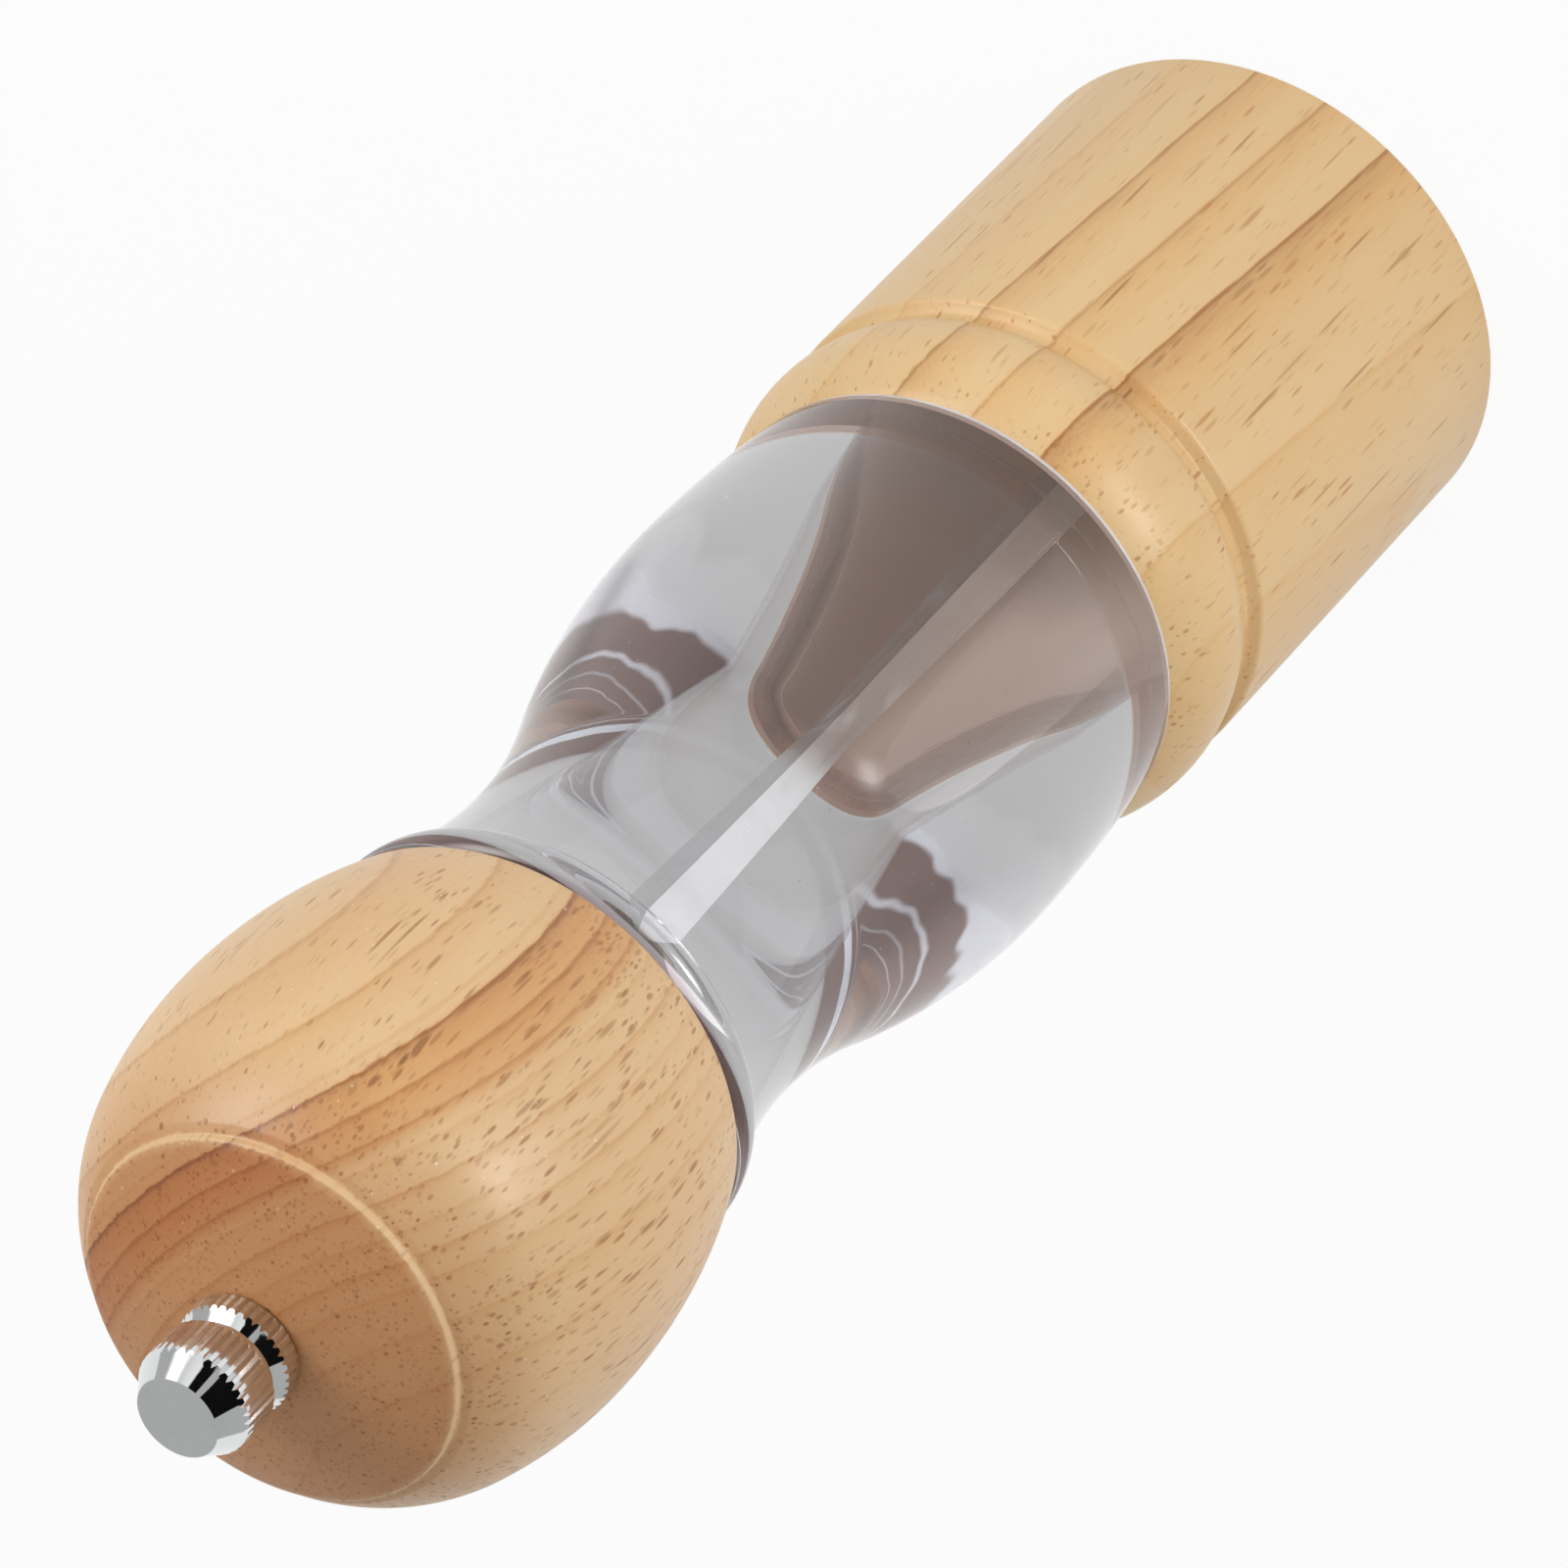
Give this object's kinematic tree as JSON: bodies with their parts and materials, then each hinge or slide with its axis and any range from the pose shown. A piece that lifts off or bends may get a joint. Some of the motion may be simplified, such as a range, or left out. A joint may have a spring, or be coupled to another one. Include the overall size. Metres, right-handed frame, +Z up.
{
  "type": "pepper mill",
  "caption": "Turned wooden mill with a clear hourglass body, a knurled adjusting nut, and a head that turns a square shaft and conical burrs.",
  "frame": {"origin": "middle of the foot, on the surface that the mill stands on", "axes": "+Z up along the shaft; X and Y across, the same all round"},
  "size_m": [0.0564, 0.0564, 0.208],
  "materials": {
    "base_wood": "pale pine-like wood under a satin lacquer",
    "head_wood": "warmer wood with dark pores under a satin lacquer",
    "clear_acrylic": "clear moulded acrylic, polished",
    "chrome": "bright chrome plating, knurled",
    "shaft_aluminium": "drawn square bar, satin",
    "plated_steel": "zinc plated",
    "screw_steel": "zinc plated",
    "spring_steel": "bright spring wire",
    "housing_plastic": "black moulded acetal",
    "ceramic": "fired white ceramic, matt"
  },
  "bodies": {
    "stand": {"base": "base_wood", "grinder_housing": "housing_plastic", "outer_burr": "ceramic", "burr_retaining_ring": "plated_steel", "housing_screws": "screw_steel", "bridge": "housing_plastic", "acrylic_body": "clear_acrylic"},
    "rotor": {"thrust_washer": "plated_steel", "burr_spring": "spring_steel"},
    "spindle": {"drive_shaft": "shaft_aluminium", "rotor_carrier": "housing_plastic", "inner_burr": "ceramic", "spring_seat": "plated_steel", "lower_washer": "plated_steel", "lower_nut": "screw_steel"},
    "cap": {"head": "head_wood", "drive_plate": "plated_steel", "drive_plate_screws": "screw_steel"},
    "nut": {"adjusting_nut": "chrome"}
  },
  "joints": [
    {"name": "grind_turn", "type": "hinge", "parent": "stand", "child": "rotor", "pos_m": [0, 0, 0.03], "axis": [0, 0, 1], "continuous": true},
    {"name": "grind_gap", "type": "slide", "parent": "rotor", "child": "spindle", "axis": [0, 0, 1], "range_m": [-0.00175, 0], "deforming": ["burr_spring"]},
    {"name": "head_lift", "type": "slide", "parent": "rotor", "child": "cap", "axis": [0, 0, 1], "range_m": [0, 0.062]},
    {"name": "nut_turn", "type": "hinge", "parent": "cap", "child": "nut", "pos_m": [0, 0, 0.2], "axis": [0, 0, 1], "range_deg": [0, 900]}
  ],
  "couplings": [
    {"joint": "grind_gap", "follows": "nut_turn", "m_per_rad": -0.00011141}
  ]
}
